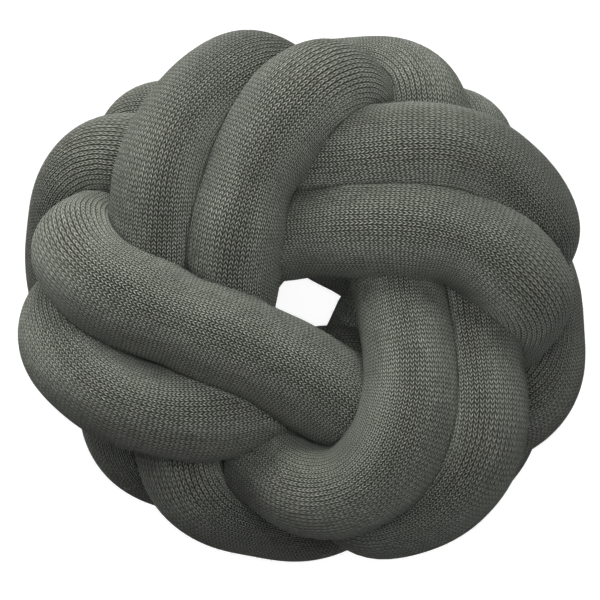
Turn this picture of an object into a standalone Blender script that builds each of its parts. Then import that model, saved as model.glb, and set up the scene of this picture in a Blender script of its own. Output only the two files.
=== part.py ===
"""A knot cushion: one long knitted tube, stuffed, led twice round a ball knot of four arms.

Every arm comes out from under the arm before it beside the middle hole, crosses over the next one,
turns down over the rim and dives.  The underside is the same knot upside down.  The two laps lie side
by side all the way, an inner lane next to the hole and an outer lane.  Metres, +Z up; the cushion
lies on its back, with its flat spots on z = 0 and the middle of its box over the origin.
"""
import bmesh
import bpy
import numpy as np

# Sizes of the whole cushion and of its tube.
TUBE_WIDTH = 0.047
OUTLINE_HALF_SIZES = (0.1480, 0.1385)
LAID_HEIGHT = 0.146
# The hole that the tube's middle line keeps clear of: slanted, and squarer the higher its squareness.
HOLE_CENTRE = (0.006, -0.001)
HOLE_HALF_SIZES = (0.0205, 0.0125)
HOLE_SLANT = np.radians(-25)
HOLE_SQUARENESS = 4
REST_FLATTENING = 0.0048
CREASE_GAP = 0.0022

# How the tube was tied.  "Way" is the distance along the knot as an angle: one arm is a full turn of
# way, a lap is four arms, and way 0 is where the left arm passes the hole.
ARMS = ("left", "bottom", "right", "top")
ARM_WAY = 2 * np.pi
LAP_WAY = len(ARMS) * ARM_WAY
FIRST_ARM_BEARING = np.radians(265)
BEARING_PER_WAY = -0.75
BEARING_SWING = 0.18
KNOT_RADIUS = 0.083
KNOT_RADIUS_SWING = 0.028
LAP_HALF_HEIGHT = 0.045
TUBE_RING_RADIUS = 0.050
RING_FULLNESS = 1.3
WEAVE_DEPTH = 0.024
LANE_OFFSET = 0.022

# The tube's two ends meet out of sight, in the crossing that the bottom arm dives under, where it
# also changes from the outer lane to the inner one.
CHANGE_WAY = 0.75 * np.pi + ARM_WAY
CHANGE_HALF_WAY = 0.33

# Where the middle line of each run that shows lies, seen from above: millimetres to the right of the
# cushion's middle and up from it, and the height over its mid plane where that matters.  Each run is
# followed the way the tube goes: from its root beside the hole to where it dives over the rim.
# Columns: arm, lane, stations (right, up[, height]).
RUNS = (
    ("left", "inner", ((49, -79, 8), (24, -54.5, 30), (-26, -21.5), (-73, -5.5), (-104, 13), (-114, 27),
                       (-100, 30))),
    ("left", "outer", ((28, -38, -6), (0, -46, 8), (-27, -57, 30), (-54, -62), (-100, -53), (-121, -28),
                       (-120, -5), (-103, 2))),
    ("bottom", "inner", ((58, 27), (60, 0, 54), (60, -46, 54), (51, -82), (18, -103), (-13, -88),
                         (-24, -69))),
    ("bottom", "outer", ((88, 16), (90, -11, 37), (91, -59, 38), (76, -105), (52, -115), (38, -109),
                         (29, -98))),
    ("right", "inner", ((-27, 39), (0, 42), (46, 41), (80, 34), (102, 22), (112, 0), (102, -16))),
    ("right", "outer", ((-5, 59), (27, 71), (69, 79), (103, 64), (119, 41), (114, 29), (104, 20))),
    ("top", "inner", ((-44, -13), (-41, 13), (-34, 45), (-13, 87), (6, 107), (23, 105), (32, 89))),
    ("top", "outer", ((-72, 5), (-74, 32), (-74, 64), (-55, 103), (-29, 117), (-11, 103), (-8, 92))),
)
# The same for the bits of rim seen between the arms, just before the tube goes in under them.
RIMS = (
    ("left", "inner", ((120, -5), (130, -32), (121, -54), (108, -60))),
    ("bottom", "inner", ((3, 110), (28, 118), (56, 115), (69, 99))),
    ("bottom", "outer", ((78, 90), (86, 87), (90, 80))),
    ("right", "inner", ((-107, 0), (-126, 36), (-109, 74), (-93, 78))),
    ("right", "outer", ((-85, 85), (-79, 90), (-69, 92))),
    ("top", "inner", ((0, -104), (-31, -106), (-56, -95), (-63, -72))),
    ("top", "outer", ((-73, -82), (-79, -79), (-87, -74), (-92, -63))),
)
# Which stretch of its arm each of them is, in arms before and after the hole.
RUN_SPAN = {"inner": (-0.104, 0.313), "outer": (-0.083, 0.271)}
RIM_SPAN = {"inner": (-0.333, -0.188), "outer": (-0.250, -0.167)}

# Settling the laps against each other.
LAP_POINTS = 160
SETTLE_ROUNDS = 1200
ROUNDS_BETWEEN_LISTS = 25
LISTED_WITHIN = 1.5
SQUEEZED = 0.91
OWN_NEIGHBOURS = 7
PUSH_APART = 0.35
PUSH_INSIDE = 0.30
PUSH_OFF_FLOOR = 1.0
STIFFNESS = 1.0
TIGHTNESS = 0.09
PULL_TO_RUN = 0.48
STRETCH_ALONG_RUN = 0.35
GLIDE = 0.85
TIGHTEST_WAVES = 22
STRIDE = 0.5

# The tube's surface.
RINGS = 366
BLUNT_TIP = 0.03
SIDES_RESOLUTION = 6
OWN_STRETCH = 1.6
NEIGHBOURS_WITHIN = 2.6
LEAST_SLANT = 0.05
CORNER_SHARPNESS = 9
SWELL_ROUNDS = 4
INSIDE_OF_BEND = 0.85
STUFFING_SWELL = 1.13
TUBE_COLOR = (0.100, 0.118, 0.106, 1.0)
TUBE_ROUGHNESS = 0.95
WELD_DISTANCE = 0.00001


def start_laps():
    """The two lanes of the even knot, before it settles, as points for equal steps of way."""
    way = np.linspace(0, LAP_WAY, LAP_POINTS, endpoint=False)
    bearing = FIRST_ARM_BEARING + BEARING_PER_WAY * way + BEARING_SWING * np.sin(2 * way)
    radius = KNOT_RADIUS - KNOT_RADIUS_SWING * np.cos(2 * way)
    height = LAP_HALF_HEIGHT * np.cos(way)
    middle = np.stack([radius * np.cos(bearing), radius * np.sin(bearing), height], axis=1)
    outward = np.stack([(radius - TUBE_RING_RADIUS) * np.cos(bearing),
                        (radius - TUBE_RING_RADIUS) * np.sin(bearing), RING_FULLNESS * height], axis=1)
    along = unit(np.roll(middle, -1, axis=0) - np.roll(middle, 1, axis=0))
    outward = unit(outward - (outward * along).sum(axis=1)[:, None] * along)
    middle += outward * (WEAVE_DEPTH * np.sin(2 * way))[:, None]
    sideways = np.cross(outward, along) * LANE_OFFSET
    return np.stack([middle - sideways, middle + sideways])


def unit(vectors):
    return vectors / np.linalg.norm(vectors, axis=-1, keepdims=True)


def smooth_line(stations, steps=12):
    """Points of a smooth curve through the stations of a run, in metres; an unstated height is nan."""
    p = np.array([s if len(s) == 3 else (*s, np.nan) for s in stations]) * 0.001
    p = np.vstack([2 * p[0] - p[1], p, 2 * p[-1] - p[-2]])
    line = []
    for a, b, c, d in zip(p[:-3], p[1:-2], p[2:-1], p[3:]):
        for t in np.linspace(0, 1, steps, endpoint=False):
            place = 0.5 * (2 * b + (c - a) * t + (2 * a - 5 * b + 4 * c - d) * t ** 2
                           + (3 * b - a - 3 * c + d) * t ** 3)
            line.append((place[0], place[1], b[2] + (c[2] - b[2]) * t))
    return np.array(line + [p[-2]])


def run_lines():
    """For each run and rim bit, the numbers of its points in the laps and the line they are drawn to."""
    per_arm = LAP_POINTS // len(ARMS)
    lines = []
    for rows, spans in ((RUNS, RUN_SPAN), (RIMS, RIM_SPAN)):
        for arm, lane, stations in rows:
            first, last = (round(share * per_arm) for share in spans[lane])
            points = (ARMS.index(arm) * per_arm + np.arange(first, last + 1)) % LAP_POINTS
            lane_start = LAP_POINTS if lane == "outer" else 0
            lines.append((points + lane_start, smooth_line(stations)))
    return lines


def possible_contacts():
    """Pairs of points that aren't close neighbours along one lap."""
    first, second = np.triu_indices(2 * LAP_POINTS, 1)
    steps = (second - first) % LAP_POINTS
    steps = np.minimum(steps, LAP_POINTS - steps)
    apart = (first // LAP_POINTS != second // LAP_POINTS) | (steps >= OWN_NEIGHBOURS)
    return first[apart], second[apart]


def drawn_to_runs(points, lines):
    """The pull on each point towards the line of its run, sideways more than along it."""
    pull = np.zeros_like(points)
    for numbers, line in lines:
        own = points[numbers]
        off = ((own[:, None, :2] - line[None, :, :2]) ** 2).sum(axis=2)
        length = np.linalg.norm(np.diff(line[:, :2], axis=0), axis=1).sum()
        slip = np.linspace(0, 1, len(numbers))[:, None] - np.linspace(0, 1, len(line))[None]
        nearest = (off + (STRETCH_ALONG_RUN * length * slip) ** 2).argmin(axis=1)
        pull[numbers] += PULL_TO_RUN * np.nan_to_num(line[nearest] - own)
    return pull


def settled_laps():
    """Let the laps settle: passes keep a squeezed tube's width apart, bend smoothly and stay snug."""
    points = start_laps().reshape(-1, 3)
    lines = run_lines()
    first, second = possible_contacts()
    closest = SQUEEZED * TUBE_WIDTH
    half_height = (LAID_HEIGHT - TUBE_WIDTH) / 2
    half_outline = np.array(OUTLINE_HALF_SIZES) - TUBE_WIDTH / 2
    half_hole = np.array(HOLE_HALF_SIZES) + TUBE_WIDTH / 2
    along, across = np.cos(HOLE_SLANT), np.sin(HOLE_SLANT)
    hole_axes = np.array([[along, -across], [across, along]])
    drift = np.zeros_like(points)
    for turn in range(SETTLE_ROUNDS):
        if turn % ROUNDS_BETWEEN_LISTS == 0:
            near = np.linalg.norm(points[second] - points[first], axis=1) < LISTED_WITHIN * closest
            one, two = first[near], second[near]
        move = drawn_to_runs(points, lines)
        between = points[two] - points[one]
        distance = np.linalg.norm(between, axis=1)
        push = (PUSH_APART * np.clip(closest - distance, 0, None) / distance)[:, None] * between
        np.add.at(move, two, push)
        np.add.at(move, one, -push)
        laps = points.reshape(2, LAP_POINTS, 3)
        sag = (np.roll(laps, 1, axis=1) + np.roll(laps, -1, axis=1)) / 2 - laps
        kink = sag - (np.roll(sag, 1, axis=1) + np.roll(sag, -1, axis=1)) / 2
        move += (STIFFNESS * kink + TIGHTNESS * sag).reshape(-1, 3)
        move[:, 2] -= PUSH_INSIDE * (points[:, 2] - points[:, 2].clip(-half_height, half_height))
        move[:, 2] += PUSH_OFF_FLOOR * (-half_height - points[:, 2]).clip(0, None)
        reach = np.linalg.norm(points[:, :2] / half_outline, axis=1)
        beyond = np.clip(reach - 1, 0, None) / reach
        move[:, :2] -= PUSH_INSIDE * beyond[:, None] * points[:, :2]
        from_hole = (points[:, :2] - HOLE_CENTRE) @ hole_axes
        reach = np.linalg.norm(from_hole / half_hole, ord=HOLE_SQUARENESS, axis=1)
        inside = np.clip(1 - reach, 0, None) / reach
        move[:, :2] += PUSH_INSIDE * (inside[:, None] * from_hole) @ hole_axes.T
        drift = GLIDE * drift + move
        points = points + STRIDE * drift
        points[:, 2] -= points[:, 2].mean()
    return points.reshape(2, LAP_POINTS, 3)


def lap_at(lap, way):
    """A lap's place at any way, from the waves in its points; bends a stuffed tube can't take fade out."""
    order = np.fft.fftfreq(LAP_POINTS, 1 / LAP_POINTS)
    waves = np.exp(2j * np.pi * np.outer(way / LAP_WAY, order) - (order / TIGHTEST_WAVES) ** 4)
    return (waves @ np.fft.fft(lap, axis=0)).real / LAP_POINTS


def tube_route(laps, count):
    """One open tube: a lap in the outer lane, a change of lane, a lap in the inner lane."""
    way = np.linspace(CHANGE_WAY + CHANGE_HALF_WAY, CHANGE_WAY + 2 * LAP_WAY - CHANGE_HALF_WAY, 8 * count)
    change = np.clip((way - CHANGE_WAY - LAP_WAY) / CHANGE_HALF_WAY, -1, 1)
    inner_share = (0.5 + 0.75 * change - 0.25 * change ** 3)[:, None]
    route = lap_at(laps[0], way) * inner_share + lap_at(laps[1], way) * (1 - inner_share)
    run = np.append(0, np.cumsum(np.linalg.norm(np.diff(route, axis=0), axis=1)))
    places = np.linspace(0, run[-1], count)
    return np.stack([np.interp(places, run, route[:, axis]) for axis in range(3)], axis=1), run[-1]


def end_rounding(count, length):
    """The tube's radius at each ring, drawn in to a rounded end at both ends."""
    from_end = np.minimum(np.arange(count), np.arange(count)[::-1]) * length / (count - 1)
    inset = 1 - np.clip(from_end / (TUBE_WIDTH / 2), BLUNT_TIP, 1)
    return TUBE_WIDTH / 2 * np.sqrt(1 - inset ** 2)


def reach_in_bends(centres, directions, spacing):
    """How far each ring point may lie from its ring's centre before the rings of a bend would cross."""
    bend = np.gradient(np.gradient(centres, spacing, axis=0), spacing, axis=0)
    inward = (directions * bend[:, None]).sum(axis=2)
    return INSIDE_OF_BEND / inward.clip(1, None)


def reach_to_neighbours(centres, directions, spacing):
    """How far each ring point may lie from its ring's centre before it is nearer another pass."""
    own = int(np.ceil(OWN_STRETCH * TUBE_WIDTH / spacing))
    reach = np.full(directions.shape[:2], np.inf)
    numbers = np.arange(len(centres))
    for ring, centre in enumerate(centres):
        others = centres[np.abs(numbers - ring) > own] - centre
        distance = np.linalg.norm(others, axis=1)
        near = distance < NEIGHBOURS_WITHIN * TUBE_WIDTH
        others, distance = others[near], distance[near]
        slant = directions[ring] @ (others / distance[:, None]).T
        limit = (distance - CREASE_GAP) / 2 / np.where(slant > LEAST_SLANT, slant, np.nan)
        reach[ring] = np.nanmin(np.append(limit, np.full((len(limit), 1), 1.0), axis=1), axis=1)
    return reach


def squeezed_radii(radii, reach):
    """Ring radii rounded into the room there is; squeezed rings swell where they are free."""
    swell = np.ones(len(radii))
    turn = 2 * np.pi / reach.shape[1]
    for _ in range(SWELL_ROUNDS):
        free = (radii * swell)[:, None]
        squeezed = (free ** -CORNER_SHARPNESS + reach ** -CORNER_SHARPNESS) ** (-1 / CORNER_SHARPNESS)
        area = 0.5 * np.sin(turn) * (squeezed * np.roll(squeezed, 1, axis=1)).sum(axis=1)
        swell *= np.sqrt(np.pi * radii ** 2 / area)
        swell = np.convolve(np.pad(swell.clip(1, STUFFING_SWELL), 2, mode="edge"), np.ones(5) / 5, "valid")
    return squeezed


def tube_mesh(route, radii):
    """A bevelled curve along the route, made a mesh; its two end caps are still loose."""
    curve = bpy.data.curves.new("knot_route", "CURVE")
    curve.dimensions = "3D"
    curve.bevel_depth = 1.0
    curve.bevel_resolution = SIDES_RESOLUTION
    curve.use_fill_caps = True
    spline = curve.splines.new("POLY")
    spline.points.add(len(route) - 1)
    for point, place, radius in zip(spline.points, route, radii):
        point.co = (*place, 1)
        point.radius = radius
    guide = bpy.data.objects.new("knot_route", curve)
    bpy.context.scene.collection.objects.link(guide)
    mesh = bpy.data.meshes.new_from_object(guide.evaluated_get(bpy.context.evaluated_depsgraph_get()))
    bpy.data.objects.remove(guide)
    return mesh


def squeeze_tube(mesh, route, radii, spacing):
    """Ease the mesh's rings back from the passes they press on, and flatten what it rests on."""
    places = np.empty(len(mesh.vertices) * 3)
    mesh.vertices.foreach_get("co", places)
    places = places.reshape(-1, 3)
    sides = 4 + 2 * SIDES_RESOLUTION
    caps, rings = places[:2 * sides].reshape(2, sides, 3), places[2 * sides:].reshape(len(route), sides, 3)
    to_ring = np.linalg.norm(caps[:, :, None] - rings[[-1, 0]][:, None], axis=3).argmin(axis=2)
    directions = unit(rings - route[:, None])
    reach = np.minimum(reach_to_neighbours(route, directions, spacing),
                       reach_in_bends(route, directions, spacing))
    rings = route[:, None] + directions * squeezed_radii(radii, reach)[:, :, None]
    caps = np.take_along_axis(rings[[-1, 0]], to_ring[:, :, None], axis=1)
    places = np.concatenate([caps.reshape(-1, 3), rings.reshape(-1, 3)])
    places[:, 2] -= places[:, 2].min() + REST_FLATTENING
    places[:, 2] = places[:, 2].clip(0, None)
    places[:, :2] -= (places[:, :2].max(axis=0) + places[:, :2].min(axis=0)) / 2
    mesh.vertices.foreach_set("co", places.ravel())


def weld_caps(mesh):
    shape = bmesh.new()
    shape.from_mesh(mesh)
    bmesh.ops.remove_doubles(shape, verts=shape.verts, dist=WELD_DISTANCE)
    shape.to_mesh(mesh)
    shape.free()


def knit_material():
    material = bpy.data.materials.new("grey_green_knit")
    material.use_nodes = True
    shader = material.node_tree.nodes["Principled BSDF"]
    shader.inputs["Base Color"].default_value = TUBE_COLOR
    shader.inputs["Roughness"].default_value = TUBE_ROUGHNESS
    shader.inputs["Metallic"].default_value = 0.0
    return material


def build():
    for old in list(bpy.data.objects):
        bpy.data.objects.remove(old)
    collection = bpy.data.collections.new("knot_cushion")
    bpy.context.scene.collection.children.link(collection)
    route, length = tube_route(settled_laps(), RINGS)
    radii = end_rounding(RINGS, length)
    mesh = tube_mesh(route, radii)
    squeeze_tube(mesh, route, radii, length / (RINGS - 1))
    weld_caps(mesh)
    mesh.shade_smooth()
    mesh.materials.append(knit_material())
    collection.objects.link(bpy.data.objects.new("knot_tube", mesh))


build()
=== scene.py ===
"""Knot cushion in grey-green melange jersey: the knitted tube with its stitches, on a lit white table.

The tube is led the same way as in the part's own source, from the same sizes and tables, and is made
here with finer rings, so it lies where the plain tube of model.glb lies.  Metres, +Z up.
"""

import bmesh
import bpy
import numpy as np
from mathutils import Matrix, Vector
from mathutils.bvhtree import BVHTree


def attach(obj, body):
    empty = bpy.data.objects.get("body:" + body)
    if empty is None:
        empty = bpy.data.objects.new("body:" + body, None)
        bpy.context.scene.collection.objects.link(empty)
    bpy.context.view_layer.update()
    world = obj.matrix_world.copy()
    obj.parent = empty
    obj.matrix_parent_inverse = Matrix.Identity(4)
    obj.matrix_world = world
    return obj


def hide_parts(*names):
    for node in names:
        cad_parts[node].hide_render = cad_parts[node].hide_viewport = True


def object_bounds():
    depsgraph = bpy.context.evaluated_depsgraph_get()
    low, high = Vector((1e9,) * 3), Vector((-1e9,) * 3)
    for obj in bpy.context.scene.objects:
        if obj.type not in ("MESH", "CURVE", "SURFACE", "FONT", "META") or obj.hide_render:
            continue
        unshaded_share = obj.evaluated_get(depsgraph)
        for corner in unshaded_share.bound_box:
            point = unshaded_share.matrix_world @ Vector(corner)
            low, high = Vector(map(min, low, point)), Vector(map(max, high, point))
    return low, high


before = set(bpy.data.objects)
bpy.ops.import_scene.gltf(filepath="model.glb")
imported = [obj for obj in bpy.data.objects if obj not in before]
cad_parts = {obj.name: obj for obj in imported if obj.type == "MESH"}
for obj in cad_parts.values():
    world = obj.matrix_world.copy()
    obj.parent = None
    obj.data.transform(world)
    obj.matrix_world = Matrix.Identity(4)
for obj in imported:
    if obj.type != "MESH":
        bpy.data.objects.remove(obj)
cad_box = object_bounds()

MILLIMETRE = 0.001

# Sizes of the whole cushion and of its tube.
TUBE_WIDTH = 0.047
OUTLINE_HALF_SIZES = (0.1480, 0.1385)
LAID_HEIGHT = 0.146
# The middle hole that the tube keeps clear of: slanted, and squarer the higher its squareness.
HOLE_CENTRE = (0.006, -0.001)
HOLE_HALF_SIZES = (0.0205, 0.0125)
HOLE_SLANT = np.radians(-25)
HOLE_SQUARENESS = 4
REST_FLATTENING = 0.0048
# How far the passes press into each other: their skins meet without a gap.
PRESSED_IN = 0.0003

# How the tube was tied.  "Way" is the distance along the knot as an angle: one arm is a full turn of
# way, a lap is four arms, and way 0 is where the left arm passes the hole.
ARMS = ("left", "bottom", "right", "top")
ARM_WAY = 2 * np.pi
LAP_WAY = len(ARMS) * ARM_WAY
FIRST_ARM_BEARING = np.radians(265)
BEARING_PER_WAY = -0.75
BEARING_SWING = 0.18
KNOT_RADIUS = 0.083
KNOT_RADIUS_SWING = 0.028
LAP_HALF_HEIGHT = 0.045
TUBE_RING_RADIUS = 0.050
RING_FULLNESS = 1.3
WEAVE_DEPTH = 0.024
LANE_OFFSET = 0.022
# Where the tube changes from the outer lane to the inner one, out of sight under the bottom arm.
CHANGE_WAY = 0.75 * np.pi + ARM_WAY
CHANGE_HALF_WAY = 0.33

# Where the middle line of each run that shows lies, seen from above: millimetres to the right of the
# cushion's middle and up from it, and the height over its mid plane where that matters.
# Columns: arm, lane, stations (right, up[, height]).
RUNS = (
    ("left", "inner", ((49, -79, 8), (24, -54.5, 30), (-26, -21.5), (-73, -5.5), (-104, 13), (-114, 27),
                       (-100, 30))),
    ("left", "outer", ((28, -38, -6), (0, -46, 8), (-27, -57, 30), (-54, -62), (-100, -53), (-121, -28),
                       (-120, -5), (-103, 2))),
    ("bottom", "inner", ((58, 27), (60, 0, 54), (60, -46, 54), (51, -82), (18, -103), (-13, -88),
                         (-24, -69))),
    ("bottom", "outer", ((88, 16), (90, -11, 37), (91, -59, 38), (76, -105), (52, -115), (38, -109),
                         (29, -98))),
    ("right", "inner", ((-27, 39), (0, 42), (46, 41), (80, 34), (102, 22), (112, 0), (102, -16))),
    ("right", "outer", ((-5, 59), (27, 71), (69, 79), (103, 64), (119, 41), (114, 29), (104, 20))),
    ("top", "inner", ((-44, -13), (-41, 13), (-34, 45), (-13, 87), (6, 107), (23, 105), (32, 89))),
    ("top", "outer", ((-72, 5), (-74, 32), (-74, 64), (-55, 103), (-29, 117), (-11, 103), (-8, 92))),
)
# The same for the bits of rim seen between the arms, just before the tube goes in under them.
RIMS = (
    ("left", "inner", ((120, -5), (130, -32), (121, -54), (108, -60))),
    ("bottom", "inner", ((3, 110), (28, 118), (56, 115), (69, 99))),
    ("bottom", "outer", ((78, 90), (86, 87), (90, 80))),
    ("right", "inner", ((-107, 0), (-126, 36), (-109, 74), (-93, 78))),
    ("right", "outer", ((-85, 85), (-79, 90), (-69, 92))),
    ("top", "inner", ((0, -104), (-31, -106), (-56, -95), (-63, -72))),
    ("top", "outer", ((-73, -82), (-79, -79), (-87, -74), (-92, -63))),
)
# Which stretch of its arm each of them is, in arms before and after the hole.
RUN_SPAN = {"inner": (-0.104, 0.313), "outer": (-0.083, 0.271)}
RIM_SPAN = {"inner": (-0.333, -0.188), "outer": (-0.250, -0.167)}
STEPS_PER_STATION = 12

# Settling the laps against each other.
LAP_POINTS = 160
SETTLE_ROUNDS = 1200
ROUNDS_BETWEEN_LISTS = 25
LISTED_WITHIN = 1.5
SQUEEZED = 0.91
OWN_NEIGHBOURS = 7
PUSH_APART = 0.35
PUSH_INSIDE = 0.30
PUSH_OFF_FLOOR = 1.0
STIFFNESS = 1.0
TIGHTNESS = 0.09
PULL_TO_RUN = 0.48
STRETCH_ALONG_RUN = 0.35
GLIDE = 0.85
TIGHTEST_WAVES = 22
STRIDE = 0.5

# The tube's surface: fine rings, a plump stuffing with soft lumps.
RINGS = 1450
ROUTE_STEPS_PER_RING = 8
BLUNT_TIP = 0.03
SIDES_RESOLUTION = 30
SIDES = 4 + 2 * SIDES_RESOLUTION
OWN_STRETCH = 1.6
NEIGHBOURS_WITHIN = 2.6
LEAST_SLANT = 0.05
NO_NEIGHBOUR = 1.0
# The room a ring point has, as a share of the free tube's radius, and how much of it the soft stuffing
# takes up: where passes only just miss each other, the skin bulges out and closes the crease.
ROOM = (0, 0.97, 1.00, 1.03, 1.06, 1.10, 1.16)
TAKEN_UP = (0, 0.97, 0.995, 1.012, 1.018, 1.01, 1.00)
PLUMPNESS = 1.02
SWELL_ROUNDS = 4
SWELL_BLEND_RINGS = 5
INSIDE_OF_BEND = 0.85
STUFFING_SWELL = 1.13
LUMP_SEED = 5
LUMP_DEPTH = 0.007
LUMP_WAVES = 26
LUMP_LENGTHS = (0.035, 0.110)
MOST_LUMPS_AROUND = 3
WELD_DISTANCE = 0.00001

# The knit: wales run along the tube, courses round it.
WALES = 62
COURSE_HEIGHT = 0.00195
LEG_CLIMB = 1.0
# The tube's radius over the bend's, where the wales begin to show as ribs and where they are ribs.
STRAIGHT_BEND = 0.35
TIGHT_BEND = 0.85
# The skin's second map: the tube cut into rows, one above the other, with a margin round each.
SKIN_ROWS = 5
ROW_END_MARGIN = 0.002
ROW_SIDE_MARGIN = 0.01

# How deep the gaps of a stitch are, in the bump and in their painted shade: the change from the wale's
# edge to its middle, the depth at its edge.
ARCH_GAP = (0.3, 0.7)
LEG_GAP = (-0.6, 1.0)
# What a tight bend does to these gaps, to the yarn that shows against the gaps' painted shade and to the
# furrow between two
# wales: the change from straight to bent, the share where the tube is straight.
BENT_ARCH = (-0.3, 1.0)
BENT_LEG = (-0.6, 1.0)
BENT_YARN = (-0.22, 1.0)
FURROW_DEPTH = (0.75, 0.15)
# How wide a furrow is as a share of half a wale, and how far a tight bend turns two legs into one rib.
FURROW_WIDTH = 0.45
BENT_RIB = 0.5
# Powers: the higher, the narrower the yarn of an arch and of a leg, and the sooner its colour darkens to
# the painted shade of a gap.
ARCH_SHARPNESS = 4.0
LEG_SHARPNESS = 2.2
SHADE_SHARPNESS = 1.4
# How far a leg or an arch stands up in metres, and what the fibres add to it as a share of that.
STITCH_HEIGHT = 0.0008
FIBRE_HEIGHT = 0.25
# The unevenness in waves a metre: rows wander over about 6 mm, the gaps' painted shade changes tone over
# 22 mm, the fibres in the yarn over 0.4 mm and the tone of the loose ones over 1.1 mm.
WANDER_WAVES = 160.0
TONE_WAVES = 45.0
FIBRE_WAVES = 2600.0
LOOSE_FIBRE_WAVES = 900.0
# How far the rows wander, in wales and courses.
WANDER = (0.4, 0.7, 0.0)
# The number of a mixing node's colour result among its outputs.
COLOUR_RESULT = 2

# Loose fibre ends that stand off the knit, drawn thicker than real ones (0.02 mm) so that they show.
FIBRE_SEED = 8
FIBRES = 42000
TRIES_PER_FIBRE = 3
FIBRE_LENGTHS = (0.0008, 0.0028)
FIBRE_WIDTH = 0.00009
FIBRE_TAPER = 0.8
FIBRE_LEANS = (0.3, 1.6)
FIBRE_ARCH = 0.12
ROOT_SCATTER = 0.001
ROOT_DEPTH = 0.0003
FREE_ROOM = 0.012
OFF_SKIN = 0.0005
# A fibre's five points in its own cell of the second map: the strip's four corners and the tip.
CELLS_ACROSS = 210
IN_CELL = ((0.2, 0.2), (0.6, 0.2), (0.6, 0.5), (0.2, 0.5), (0.4, 0.8))

# The studio: the table a hair's breadth under the cushion, the backdrop, and soft lamps aimed at it.
TABLE_SIZE = 8
TABLE_TOP = -0.0001
TABLE_GLOW = 0.93
BACKDROP_RADIUS = 6
ROOM_GLOW = 0.01
LAMP_AIM = (0, 0, 0.08)
# Columns: name, place, size, watts.
LAMPS = (
    ("overhead", (0, 0, 0.7), 0.3, 1.75),
    ("from_the_top", (0, 1.9, 0.95), 1.0, 37),
    ("low_from_top_left", (-1.4, 1.3, 0.5), 1.0, 34),
    ("above_right", (0.8, 0.1, 1.2), 0.6, 2.2),
    ("right_fill", (1.6, 0, 1.7), 1.0, 4),
    ("bottom_fill", (0, -1.6, 1.7), 1.0, 1.5),
)

# The photo's view: straight down, the cushion's 300 mm width 564 of 600 pixels wide.
CAMERA_DISTANCE = 2.6
SENSOR = 36.0
PHOTO_PIXELS = 600
CUSHION_PIXELS = 564
CUSHION_WIDTH = 0.300
PHOTO_MIDDLE = (-0.0023, -0.0010)


def start_laps():
    """The two lanes of the even knot, before it settles, as points for equal steps of way."""
    way = np.linspace(0, LAP_WAY, LAP_POINTS, endpoint=False)
    bearing = FIRST_ARM_BEARING + BEARING_PER_WAY * way + BEARING_SWING * np.sin(2 * way)
    radius = KNOT_RADIUS - KNOT_RADIUS_SWING * np.cos(2 * way)
    height = LAP_HALF_HEIGHT * np.cos(way)
    middle = np.stack([radius * np.cos(bearing), radius * np.sin(bearing), height], axis=1)
    outward = np.stack([(radius - TUBE_RING_RADIUS) * np.cos(bearing),
                        (radius - TUBE_RING_RADIUS) * np.sin(bearing), RING_FULLNESS * height], axis=1)
    along = unit(np.roll(middle, -1, axis=0) - np.roll(middle, 1, axis=0))
    outward = unit(outward - (outward * along).sum(axis=1)[:, None] * along)
    middle += outward * (WEAVE_DEPTH * np.sin(2 * way))[:, None]
    sideways = np.cross(outward, along) * LANE_OFFSET
    return np.stack([middle - sideways, middle + sideways])


def unit(vectors):
    return vectors / np.linalg.norm(vectors, axis=-1, keepdims=True)


def smooth_line(stations):
    """Points of a smooth curve through the stations of a run, in metres; an unstated height is nan."""
    p = np.array([s if len(s) == 3 else (*s, np.nan) for s in stations]) * MILLIMETRE
    p = np.vstack([2 * p[0] - p[1], p, 2 * p[-1] - p[-2]])
    line = []
    for a, b, c, d in zip(p[:-3], p[1:-2], p[2:-1], p[3:]):
        for t in np.linspace(0, 1, STEPS_PER_STATION, endpoint=False):
            place = 0.5 * (2 * b + (c - a) * t + (2 * a - 5 * b + 4 * c - d) * t ** 2
                           + (3 * b - a - 3 * c + d) * t ** 3)
            line.append((place[0], place[1], b[2] + (c[2] - b[2]) * t))
    return np.array(line + [p[-2]])


def run_lines():
    """For each run and rim bit, the numbers of its points in the laps and the line they are drawn to."""
    per_arm = LAP_POINTS // len(ARMS)
    lines = []
    for rows, spans in ((RUNS, RUN_SPAN), (RIMS, RIM_SPAN)):
        for arm, lane, stations in rows:
            first, last = (round(share * per_arm) for share in spans[lane])
            points = (ARMS.index(arm) * per_arm + np.arange(first, last + 1)) % LAP_POINTS
            lane_start = LAP_POINTS if lane == "outer" else 0
            lines.append((points + lane_start, smooth_line(stations)))
    return lines


def possible_contacts():
    """Pairs of points that aren't close neighbours along one lap."""
    first, second = np.triu_indices(2 * LAP_POINTS, 1)
    steps = (second - first) % LAP_POINTS
    steps = np.minimum(steps, LAP_POINTS - steps)
    apart = (first // LAP_POINTS != second // LAP_POINTS) | (steps >= OWN_NEIGHBOURS)
    return first[apart], second[apart]


def drawn_to_runs(points, lines):
    """The pull on each point towards the line of its run, sideways more than along it."""
    pull = np.zeros_like(points)
    for numbers, line in lines:
        own = points[numbers]
        off = ((own[:, None, :2] - line[None, :, :2]) ** 2).sum(axis=2)
        length = np.linalg.norm(np.diff(line[:, :2], axis=0), axis=1).sum()
        slip = np.linspace(0, 1, len(numbers))[:, None] - np.linspace(0, 1, len(line))[None]
        nearest = (off + (STRETCH_ALONG_RUN * length * slip) ** 2).argmin(axis=1)
        pull[numbers] += PULL_TO_RUN * np.nan_to_num(line[nearest] - own)
    return pull


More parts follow.
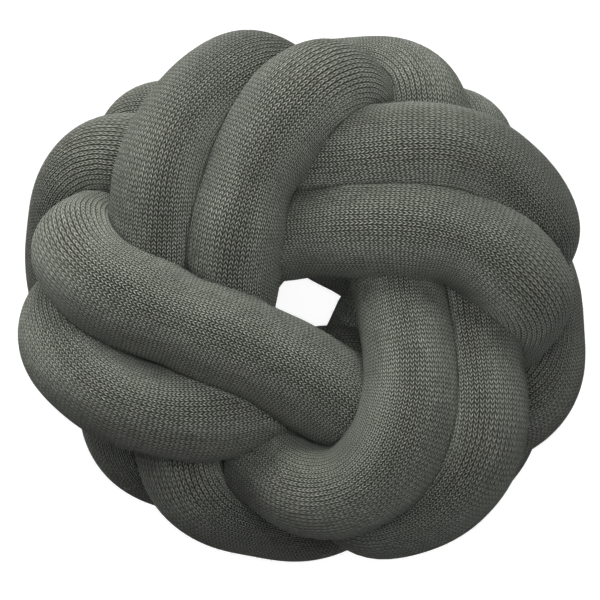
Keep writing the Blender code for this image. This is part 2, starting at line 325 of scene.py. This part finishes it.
def settled_laps():
    """Let the laps settle: passes keep a squeezed tube's width apart, bend smoothly and stay snug."""
    points = start_laps().reshape(-1, 3)
    lines = run_lines()
    first, second = possible_contacts()
    closest = SQUEEZED * TUBE_WIDTH
    half_height = (LAID_HEIGHT - TUBE_WIDTH) / 2
    half_outline = np.array(OUTLINE_HALF_SIZES) - TUBE_WIDTH / 2
    half_hole = np.array(HOLE_HALF_SIZES) + TUBE_WIDTH / 2
    along, across = np.cos(HOLE_SLANT), np.sin(HOLE_SLANT)
    hole_axes = np.array([[along, -across], [across, along]])
    drift = np.zeros_like(points)
    for turn in range(SETTLE_ROUNDS):
        if turn % ROUNDS_BETWEEN_LISTS == 0:
            near = np.linalg.norm(points[second] - points[first], axis=1) < LISTED_WITHIN * closest
            one, two = first[near], second[near]
        move = drawn_to_runs(points, lines)
        between = points[two] - points[one]
        distance = np.linalg.norm(between, axis=1)
        push = (PUSH_APART * np.clip(closest - distance, 0, None) / distance)[:, None] * between
        np.add.at(move, two, push)
        np.add.at(move, one, -push)
        laps = points.reshape(2, LAP_POINTS, 3)
        sag = (np.roll(laps, 1, axis=1) + np.roll(laps, -1, axis=1)) / 2 - laps
        kink = sag - (np.roll(sag, 1, axis=1) + np.roll(sag, -1, axis=1)) / 2
        move += (STIFFNESS * kink + TIGHTNESS * sag).reshape(-1, 3)
        move[:, 2] -= PUSH_INSIDE * (points[:, 2] - points[:, 2].clip(-half_height, half_height))
        move[:, 2] += PUSH_OFF_FLOOR * (-half_height - points[:, 2]).clip(0, None)
        reach = np.linalg.norm(points[:, :2] / half_outline, axis=1)
        beyond = np.clip(reach - 1, 0, None) / reach
        move[:, :2] -= PUSH_INSIDE * beyond[:, None] * points[:, :2]
        from_hole = (points[:, :2] - HOLE_CENTRE) @ hole_axes
        reach = np.linalg.norm(from_hole / half_hole, ord=HOLE_SQUARENESS, axis=1)
        inside = np.clip(1 - reach, 0, None) / reach
        move[:, :2] += PUSH_INSIDE * (inside[:, None] * from_hole) @ hole_axes.T
        drift = GLIDE * drift + move
        points = points + STRIDE * drift
        points[:, 2] -= points[:, 2].mean()
    return points.reshape(2, LAP_POINTS, 3)


def lap_at(lap, way):
    """A lap's place at any way, from the waves in its points; bends a stuffed tube can't take fade out."""
    order = np.fft.fftfreq(LAP_POINTS, 1 / LAP_POINTS)
    waves = np.exp(2j * np.pi * np.outer(way / LAP_WAY, order) - (order / TIGHTEST_WAVES) ** 4)
    return (waves @ np.fft.fft(lap, axis=0)).real / LAP_POINTS


def tube_route(laps, count):
    """One open tube: a lap in the outer lane, a change of lane, a lap in the inner lane."""
    start, end = CHANGE_WAY + CHANGE_HALF_WAY, CHANGE_WAY + 2 * LAP_WAY - CHANGE_HALF_WAY
    way = np.linspace(start, end, ROUTE_STEPS_PER_RING * count)
    change = np.clip((way - CHANGE_WAY - LAP_WAY) / CHANGE_HALF_WAY, -1, 1)
    inner_share = (0.5 + 0.75 * change - 0.25 * change ** 3)[:, None]
    route = lap_at(laps[0], way) * inner_share + lap_at(laps[1], way) * (1 - inner_share)
    run = np.append(0, np.cumsum(np.linalg.norm(np.diff(route, axis=0), axis=1)))
    places = np.linspace(0, run[-1], count)
    return np.stack([np.interp(places, run, route[:, axis]) for axis in range(3)], axis=1), run[-1]


def end_rounding(count, length):
    """The tube's radius at each ring, drawn in to a rounded end at both ends."""
    from_end = np.minimum(np.arange(count), np.arange(count)[::-1]) * length / (count - 1)
    inset = 1 - np.clip(from_end / (TUBE_WIDTH / 2), BLUNT_TIP, 1)
    return PLUMPNESS * TUBE_WIDTH / 2 * np.sqrt(1 - inset ** 2)


def stuffing_lumps(length):
    """How much fuller or slacker than even the tube is at each ring and side: broad, shallow lumps."""
    luck = np.random.default_rng(LUMP_SEED)
    along = np.linspace(0, length, RINGS)[:, None]
    around = np.linspace(0, 2 * np.pi, SIDES, endpoint=False)[None]
    lumps = np.zeros((RINGS, SIDES))
    for _ in range(LUMP_WAVES):
        wave = 2 * np.pi / luck.uniform(*LUMP_LENGTHS)
        turns = luck.integers(0, MOST_LUMPS_AROUND + 1)
        lumps += np.cos(wave * along + turns * around + luck.uniform(0, 2 * np.pi))
    return 1 + LUMP_DEPTH * lumps / np.sqrt(LUMP_WAVES / 2)


def bend_at(centres, spacing):
    """The bend at each ring: points to the bend's inside, its length is one over the bend's radius."""
    return np.gradient(np.gradient(centres, spacing, axis=0), spacing, axis=0)


def reach_in_bends(centres, directions, spacing):
    """How far each ring point may lie from its ring's centre before the rings of a bend would cross."""
    inward = (directions * bend_at(centres, spacing)[:, None]).sum(axis=2)
    return INSIDE_OF_BEND / inward.clip(1, None)


def reach_to_neighbours(centres, directions, spacing):
    """How far each ring point may lie from its ring's centre before it is nearer another pass."""
    own = int(np.ceil(OWN_STRETCH * TUBE_WIDTH / spacing))
    reach = np.full(directions.shape[:2], np.inf)
    numbers = np.arange(len(centres))
    for ring, centre in enumerate(centres):
        others = centres[np.abs(numbers - ring) > own] - centre
        distance = np.linalg.norm(others, axis=1)
        near = distance < NEIGHBOURS_WITHIN * TUBE_WIDTH
        others, distance = others[near], distance[near]
        slant = directions[ring] @ (others / distance[:, None]).T
        limit = (distance + PRESSED_IN) / 2 / np.where(slant > LEAST_SLANT, slant, np.nan)
        limit = np.append(limit, np.full((len(limit), 1), NO_NEIGHBOUR), axis=1)
        reach[ring] = np.nanmin(limit, axis=1)
    return reach


def squeezed_radii(radii, reach, lumps):
    """Ring radii eased into the room there is; squeezed rings swell where they are free."""
    swell = np.ones(len(radii))
    blend = np.ones(SWELL_BLEND_RINGS) / SWELL_BLEND_RINGS
    turn = 2 * np.pi / reach.shape[1]
    for _ in range(SWELL_ROUNDS):
        free = (radii * swell)[:, None] * lumps
        squeezed = free * np.interp(reach / free, ROOM, TAKEN_UP)
        area = 0.5 * np.sin(turn) * (squeezed * np.roll(squeezed, 1, axis=1)).sum(axis=1)
        swell *= np.sqrt(np.pi * radii ** 2 / area)
        padded = np.pad(swell.clip(1, STUFFING_SWELL), SWELL_BLEND_RINGS // 2, mode="edge")
        swell = np.convolve(padded, blend, "valid")
    return squeezed


def tube_mesh(route, radii):
    """A bevelled curve along the route, made a mesh; its two end caps are still loose."""
    curve = bpy.data.curves.new("knot_route", "CURVE")
    curve.dimensions = "3D"
    curve.bevel_depth = 1.0
    curve.bevel_resolution = SIDES_RESOLUTION
    curve.use_fill_caps = True
    spline = curve.splines.new("POLY")
    spline.points.add(len(route) - 1)
    for point, place, radius in zip(spline.points, route, radii):
        point.co = (*place, 1)
        point.radius = radius
    guide = bpy.data.objects.new("knot_route", curve)
    bpy.context.scene.collection.objects.link(guide)
    mesh = bpy.data.meshes.new_from_object(guide.evaluated_get(bpy.context.evaluated_depsgraph_get()))
    bpy.data.objects.remove(guide)
    return mesh


def vectors_of(rows, name):
    """The places or directions of a mesh's points as one array."""
    values = np.empty(len(rows) * 3)
    rows.foreach_get(name, values)
    return values.reshape(-1, 3)


def squeeze_tube(mesh, route, radii, length):
    """Ease the mesh's rings back from the passes they press on, and flatten what it rests on.

    Returns each point's ring and its number round the ring.
    """
    spacing = length / (RINGS - 1)
    places = vectors_of(mesh.vertices, "co")
    caps, rings = places[:2 * SIDES].reshape(2, SIDES, 3), places[2 * SIDES:].reshape(RINGS, SIDES, 3)
    to_ring = np.linalg.norm(caps[:, :, None] - rings[[-1, 0]][:, None], axis=3).argmin(axis=2)
    directions = unit(rings - route[:, None])
    reach = np.minimum(reach_to_neighbours(route, directions, spacing),
                       reach_in_bends(route, directions, spacing))
    size = squeezed_radii(radii, reach, stuffing_lumps(length))
    rings = route[:, None] + directions * size[:, :, None]
    caps = np.take_along_axis(rings[[-1, 0]], to_ring[:, :, None], axis=1)
    places = np.concatenate([caps.reshape(-1, 3), rings.reshape(-1, 3)])
    places[:, 2] -= places[:, 2].min() + REST_FLATTENING
    places[:, 2] = places[:, 2].clip(0, None)
    places[:, :2] -= (places[:, :2].max(axis=0) + places[:, :2].min(axis=0)) / 2
    mesh.vertices.foreach_set("co", places.ravel())
    ring = np.concatenate([[RINGS - 1] * SIDES, [0] * SIDES, np.repeat(np.arange(RINGS), SIDES)])
    side = np.concatenate([to_ring.ravel(), np.tile(np.arange(SIDES), RINGS)])
    mark_bends(mesh, route, spacing, ring)
    return ring, side


def mark_bends(mesh, route, spacing, ring):
    """A value at each point of the skin: 0 where the tube runs straight, 1 where it bends tightly."""
    bend = np.linalg.norm(bend_at(route, spacing), axis=1) * TUBE_WIDTH / 2
    share = ((bend - STRAIGHT_BEND) / (TIGHT_BEND - STRAIGHT_BEND)).clip(0, 1)
    mark = mesh.attributes.new("bent", "FLOAT", "POINT")
    mark.data.foreach_set("value", share[ring].astype(np.float32))


def lay_out_knit(mesh, ring, side, length):
    """Two maps: stitches (wales round the tube, courses along it) and the tube's skin cut into rows."""
    corner = np.empty(len(mesh.loops), dtype=int)
    mesh.loops.foreach_get("vertex_index", corner)
    first = np.empty(len(mesh.polygons), dtype=int)
    mesh.polygons.foreach_get("loop_start", first)
    along, around = ring[corner].astype(float), side[corner].astype(float)
    corners = np.diff(np.append(first, len(corner)))
    face = np.repeat(np.arange(len(first)), corners)
    highest = np.maximum.reduceat(around, first)
    wraps = (highest[face] == SIDES - 1) & (around == 0) & (corners[face] == 4)
    around[wraps] = SIDES
    stitches = np.stack([around * WALES / SIDES, along * length / (RINGS - 1) / COURSE_HEIGHT], axis=1)
    knit = mesh.uv_layers.new(name="stitches")
    knit.uv.foreach_set("vector", stitches.astype(np.float32).ravel())
    per_row = (RINGS - 1) / SKIN_ROWS
    row = np.clip(np.floor((np.minimum.reduceat(along, first)[face] + 0.5) / per_row), 0, SKIN_ROWS - 1)
    down_row = (along - row * per_row) / np.ceil(per_row)
    across_row = ROW_SIDE_MARGIN + (1 - 2 * ROW_SIDE_MARGIN) * around / SIDES
    skin = np.stack([ROW_END_MARGIN + (1 - 2 * ROW_END_MARGIN) * down_row, (row + across_row) / SKIN_ROWS],
                    axis=1)
    rows_map = mesh.uv_layers.new(name="OFBake")
    rows_map.uv.foreach_set("vector", skin.astype(np.float32).ravel())
    mesh.uv_layers.active = knit


def weld_caps(mesh):
    shape = bmesh.new()
    shape.from_mesh(mesh)
    bmesh.ops.remove_doubles(shape, verts=shape.verts, dist=WELD_DISTANCE)
    shape.to_mesh(mesh)
    shape.free()


def linear(hex_colour):
    """An sRGB hex colour as Blender's linear one."""
    parts = [int(hex_colour[i:i + 2], 16) / 255 for i in (1, 3, 5)]
    return (*[c / 12.92 if c <= 0.04045 else ((c + 0.055) / 1.055) ** 2.4 for c in parts], 1.0)


def put(tree, kind, inputs=(), output=0, **settings):
    """Adds a node with its settings, gives its inputs values or links, and returns one of its outputs."""
    node = tree.nodes.new(kind)
    for name, value in settings.items():
        setattr(node, name, value)
    for key, value in (inputs.items() if isinstance(inputs, dict) else enumerate(inputs)):
        if isinstance(value, bpy.types.NodeSocket):
            tree.links.new(value, node.inputs[key])
        elif value is not None:
            node.inputs[key].default_value = value
    return node.outputs[output]


def melange_jersey():
    """Wool-blend jersey, circular knitted from a grey-green melange yarn.

    Each stitch is an arch of yarn whose two legs climb to the wale's middle, with an opening under its
    top and thin gaps to the stitches beside and below: the eye gets fine rows of small arches.  The colour
    follows the relief: the yarn's own colour on the crests, darkening to near black in the openings, the
    gaps and the furrows of tight bends, which is painted shade.  The yarn is spun from lighter and darker
    fibres, so it is matt, softly hairy and never one even colour.
    Single fibres are drawn coarser than real ones, so that they show at all.
    """
    material = bpy.data.materials.new("grey_green_melange_jersey")
    material.use_nodes = True
    tree = material.node_tree
    shader = tree.nodes["Principled BSDF"]
    math, mix = "ShaderNodeMath", "ShaderNodeMix"
    as_colour = {"output": COLOUR_RESULT, "data_type": "RGBA"}
    place = put(tree, "ShaderNodeTexCoord", output="Object")
    stitches = put(tree, "ShaderNodeUVMap", uv_map="stitches")
    # Knitting is never quite even: the rows wander by a small share of a stitch.
    wander = put(tree, "ShaderNodeTexNoise", {"Vector": place, "Scale": WANDER_WAVES, "Detail": 1.0},
                 output="Color")
    wander = put(tree, "ShaderNodeVectorMath", (wander, (0.5, 0.5, 0.5)), operation="SUBTRACT")
    wander = put(tree, "ShaderNodeVectorMath", (wander, WANDER), operation="MULTIPLY")
    stitches = put(tree, "ShaderNodeVectorMath", (stitches, wander), operation="ADD")
    wale = put(tree, "ShaderNodeSeparateXYZ", (stitches,), output="X")
    course = put(tree, "ShaderNodeSeparateXYZ", (stitches,), output="Y")
    # From the wale's edge, 0, to its middle, 1; the yarn climbs one course on the way.
    inward = put(tree, math, (wale, 0.5), operation="PINGPONG")
    inward = put(tree, math, (inward, 2.0), operation="MULTIPLY")
    climb = put(tree, math, (inward, -LEG_CLIMB, course), operation="MULTIPLY_ADD")
    # Round a tight bend the stitches close up and the wales show as ribs with furrows between them, dark
    # in the bump and in painted shade.
    bent = put(tree, "ShaderNodeAttribute", output="Fac", attribute_name="bent")
    bent_middle = put(tree, math, (bent, inward), operation="MULTIPLY")
    # How full of yarn a place is: gaps open between one arch and the next, and between the wales, less
    # deep down a wale's middle, where the arches are closed.
    arch = put(tree, math, (climb, np.pi), operation="MULTIPLY")
    arch = put(tree, math, (arch,), operation="SINE")
    arch = put(tree, math, (arch, ARCH_SHARPNESS), operation="POWER")
    cord = put(tree, math, (wale, 2 * np.pi), operation="MULTIPLY")
    cord = put(tree, math, (cord,), operation="SINE")
    cord = put(tree, math, (cord,), operation="ABSOLUTE")
    leg = put(tree, math, (cord, LEG_SHARPNESS), operation="POWER")
    arch_depth = put(tree, math, (inward, *ARCH_GAP), operation="MULTIPLY_ADD")
    leg_depth = put(tree, math, (inward, *LEG_GAP), operation="MULTIPLY_ADD")
    ribbed = put(tree, math, (bent, *BENT_ARCH), operation="MULTIPLY_ADD")
    arch_depth = put(tree, math, (arch_depth, ribbed), operation="MULTIPLY")
    ribbed = put(tree, math, (bent_middle, *BENT_LEG), operation="MULTIPLY_ADD")
    leg_depth = put(tree, math, (leg_depth, ribbed), operation="MULTIPLY")
    arch = put(tree, mix, {"Factor": arch_depth, "A": 1.0, "B": arch})
    leg = put(tree, mix, {"Factor": leg_depth, "A": 1.0, "B": leg})
    furrow = put(tree, "ShaderNodeMapRange", (inward, 0.0, FURROW_WIDTH), interpolation_type="SMOOTHSTEP")
    furrow_depth = put(tree, math, (bent, *FURROW_DEPTH), operation="MULTIPLY_ADD")
    furrow = put(tree, mix, {"Factor": furrow_depth, "A": 1.0, "B": furrow})
    relief = put(tree, math, (arch, leg), operation="MULTIPLY")
    relief = put(tree, math, (relief, furrow), operation="MULTIPLY")
    # A tight bend lowers the yarn's relief, which also darkens its colour with painted shade.
    packed = put(tree, math, (bent, *BENT_YARN), operation="MULTIPLY_ADD")
    relief = put(tree, math, (relief, packed), operation="MULTIPLY")
    # The legs stand up as round cords all along the wale, in a bend partly as one rib, so a low light
    # draws the wale's lines.
    rib_share = put(tree, math, (bent, BENT_RIB), operation="MULTIPLY")
    rib = put(tree, math, (inward, np.pi / 2), operation="MULTIPLY")
    rib = put(tree, math, (rib,), operation="SINE")
    cord = put(tree, mix, {"Factor": rib_share, "A": cord, "B": rib})
    height = put(tree, math, (cord, relief), operation="ADD")
    # One melange yarn differs from stitch to stitch and from fibre to fibre.
    leg_number = put(tree, math, (wale, 2.0), operation="MULTIPLY")
    leg_number = put(tree, math, (leg_number,), operation="FLOOR")
    climb_number = put(tree, math, (climb, 0.5), operation="ADD")
    climb_number = put(tree, math, (climb_number,), operation="FLOOR")
    number = put(tree, "ShaderNodeCombineXYZ", (leg_number, climb_number))
    luck = put(tree, "ShaderNodeTexWhiteNoise", {"Vector": number}, output="Value", noise_dimensions="2D")
    fibres = put(tree, "ShaderNodeTexNoise", {"Vector": place, "Scale": FIBRE_WAVES, "Detail": 2.0})
    patches = put(tree, "ShaderNodeTexNoise", {"Vector": place, "Scale": TONE_WAVES, "Detail": 2.0})
    yarn = put(tree, mix, {"Factor": luck, "A": linear("#b4b8a5"), "B": linear("#fffff0")}, **as_colour)
    yarn = put(tree, mix, {"Factor": fibres, "A": yarn, "B": linear("#a0a496")}, **as_colour)
    # The colour of the gaps is painted shade: near black, a little lighter in slow patches.
    gap_shade = put(tree, mix, {"Factor": patches, "A": linear("#050505"), "B": linear("#0b0b0a")}, **as_colour)
    # The colour follows the relief from the yarn's own colour on the crests to the painted shade of the
    # gaps.
    unshaded_share = put(tree, math, (relief, SHADE_SHARPNESS), operation="POWER")
    colour = put(tree, mix, {"Factor": unshaded_share, "A": gap_shade, "B": yarn}, **as_colour)
    tree.links.new(colour, shader.inputs["Base Color"])
    fuzz = put(tree, math, (fibres, FIBRE_HEIGHT), operation="MULTIPLY")
    height = put(tree, math, (height, fuzz), operation="ADD")
    bump = put(tree, "ShaderNodeBump", {"Strength": 1.0, "Distance": STITCH_HEIGHT, "Height": height})
    tree.links.new(bump, shader.inputs["Normal"])
    shader.inputs["Roughness"].default_value = 0.95
    shader.inputs["Specular IOR Level"].default_value = 0.15
    shader.inputs["Sheen Weight"].default_value = 0.6
    shader.inputs["Sheen Roughness"].default_value = 0.35
    shader.inputs["Sheen Tint"].default_value = linear("#b9c1b6")
    return material


def wool_fibre():
    """Fibre ends of the same melange wool, teased out of the yarn by wear: pale, matt and soft."""
    material = bpy.data.materials.new("loose_melange_wool")
    material.use_nodes = True
    tree = material.node_tree
    shader = tree.nodes["Principled BSDF"]
    place = put(tree, "ShaderNodeTexCoord", output="Object")
    luck = put(tree, "ShaderNodeTexNoise", {"Vector": place, "Scale": LOOSE_FIBRE_WAVES})
    colour = put(tree, "ShaderNodeMix", {"Factor": luck, "A": linear("#7c8276"), "B": linear("#b4b8a8")},
                 output=COLOUR_RESULT, data_type="RGBA")
    tree.links.new(colour, shader.inputs["Base Color"])
    shader.inputs["Roughness"].default_value = 1.0
    shader.inputs["Specular IOR Level"].default_value = 0.1
    return material


def open_skin(skin, luck):
    """Places and outward directions for fibres, at random where nothing lies close over the skin."""
    places = vectors_of(skin.vertices, "co")
    outward = vectors_of(skin.vertex_normals, "vector")
    tree = BVHTree.FromPolygons(places.tolist(), [tuple(face.vertices) for face in skin.polygons])
    picked = luck.integers(0, len(places), TRIES_PER_FIBRE * FIBRES)
    free = np.array([tree.ray_cast(Vector(places[i] + OFF_SKIN * outward[i]), Vector(outward[i]),
                                   FREE_ROOM)[0] is None for i in picked])
    off_table = places[picked][:, 2] > FIBRE_LENGTHS[1]
    picked = picked[free & off_table][:FIBRES]
    return places[picked], outward[picked]


def make_fibres(cushion):
    """Short bent fibre ends all over the skin that shows, a strip and a tip each."""
    luck = np.random.default_rng(FIBRE_SEED)
    skin, up = open_skin(cushion.data, luck)
    count = len(skin)
    lean = unit(np.cross(up, luck.normal(size=(count, 3))))
    across = np.cross(up, lean) * FIBRE_WIDTH / 2
    root = skin + lean * luck.uniform(-ROOT_SCATTER, ROOT_SCATTER, (count, 1)) - up * ROOT_DEPTH
    reach = unit(up + lean * luck.uniform(*FIBRE_LEANS, (count, 1)))
    reach = reach * luck.uniform(*FIBRE_LENGTHS, (count, 1))
    middle = root + reach / 2 + up * FIBRE_ARCH * np.linalg.norm(reach, axis=1)[:, None]
    points = np.stack([root - across, root + across, middle + FIBRE_TAPER * across,
                       middle - FIBRE_TAPER * across, root + reach], axis=1)
    first = np.arange(count)[:, None] * len(IN_CELL)
    strips = (first + [0, 1, 2, 3]).tolist()
    tips = (first + [3, 2, 4]).tolist()
    mesh = bpy.data.meshes.new("loose_fibres")
    mesh.from_pydata(points.reshape(-1, 3).tolist(), [], strips + tips)
    corner = np.empty(len(mesh.loops), dtype=int)
    mesh.loops.foreach_get("vertex_index", corner)
    fibre, point = np.divmod(corner, len(IN_CELL))
    cell = np.stack([fibre % CELLS_ACROSS, fibre // CELLS_ACROSS], axis=1)
    cell = (cell + np.array(IN_CELL)[point]) / CELLS_ACROSS
    mesh.uv_layers.new(name="OFBake").uv.foreach_set("vector", cell.astype(np.float32).ravel())
    mesh.materials.append(wool_fibre())
    fibres = bpy.data.objects.new("loose_fibres", mesh)
    bpy.context.scene.collection.objects.link(fibres)
    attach(fibres, "root")


def make_cushion():
    """The knitted tube, which takes the place of the plain one."""
    route, length = tube_route(settled_laps(), RINGS)
    radii = end_rounding(RINGS, length)
    mesh = tube_mesh(route, radii)
    ring, side = squeeze_tube(mesh, route, radii, length)
    lay_out_knit(mesh, ring, side, length)
    weld_caps(mesh)
    mesh.shade_smooth()
    mesh.materials.append(melange_jersey())
    cushion = bpy.data.objects.new("knitted_tube", mesh)
    bpy.context.scene.collection.objects.link(cushion)
    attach(cushion, "root")
    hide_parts("knot_tube")
    return cushion


def lit_acrylic():
    """Opal white acrylic lit from behind, as studio tables are made: it shows an even, pale white."""
    acrylic = bpy.data.materials.new("lit_white_acrylic")
    acrylic.use_nodes = True
    shader = acrylic.node_tree.nodes["Principled BSDF"]
    shader.inputs["Base Color"].default_value = linear("#8c8c8c")
    shader.inputs["Roughness"].default_value = 0.9
    shader.inputs["Emission Color"].default_value = linear("#ffffff")
    shader.inputs["Emission Strength"].default_value = TABLE_GLOW
    return acrylic


def make_stage():
    """The table, as bright in the middle hole as round the cushion, and a round backdrop like it."""
    bpy.ops.mesh.primitive_plane_add(size=TABLE_SIZE, location=(0, 0, TABLE_TOP))
    floor = bpy.context.object
    floor.name = "floor"
    bpy.ops.mesh.primitive_uv_sphere_add(segments=64, ring_count=32, radius=BACKDROP_RADIUS,
                                         location=(0, 0, 0))
    backdrop = bpy.context.object
    backdrop.name = "backdrop"
    acrylic = lit_acrylic()
    for piece in (floor, backdrop):
        piece.data.materials.append(acrylic)
        piece.visible_diffuse = False


def softbox(name, place, size, watts):
    """A square area lamp, aimed at the cushion from where it stands."""
    lamp = bpy.data.lights.new(name, "AREA")
    lamp.size = size
    lamp.energy = watts
    box = bpy.data.objects.new(name, lamp)
    box.location = place
    box.rotation_euler = (Vector(LAMP_AIM) - Vector(place)).to_track_quat("-Z", "Y").to_euler()
    bpy.context.scene.collection.objects.link(box)


def light_studio():
    for lamp in LAMPS:
        softbox(*lamp)
    world = bpy.data.worlds.new("studio")
    world.use_nodes = True
    world.node_tree.nodes["Background"].inputs["Color"].default_value = linear("#ffffff")
    world.node_tree.nodes["Background"].inputs["Strength"].default_value = ROOM_GLOW
    bpy.context.scene.world = world
    bpy.context.scene.view_settings.view_transform = "Standard"


def set_camera():
    """Straight down on the cushion, which fills the frame as in the photo."""
    lens = bpy.data.cameras.new("camera")
    lens.sensor_width = SENSOR
    lens.lens = SENSOR * CAMERA_DISTANCE / (PHOTO_PIXELS * CUSHION_WIDTH / CUSHION_PIXELS)
    camera = bpy.data.objects.new("camera", lens)
    camera.location = (*PHOTO_MIDDLE, cad_box[1].z / 2 + CAMERA_DISTANCE)
    bpy.context.scene.collection.objects.link(camera)
    bpy.context.scene.camera = camera


make_fibres(make_cushion())
make_stage()
light_studio()
set_camera()
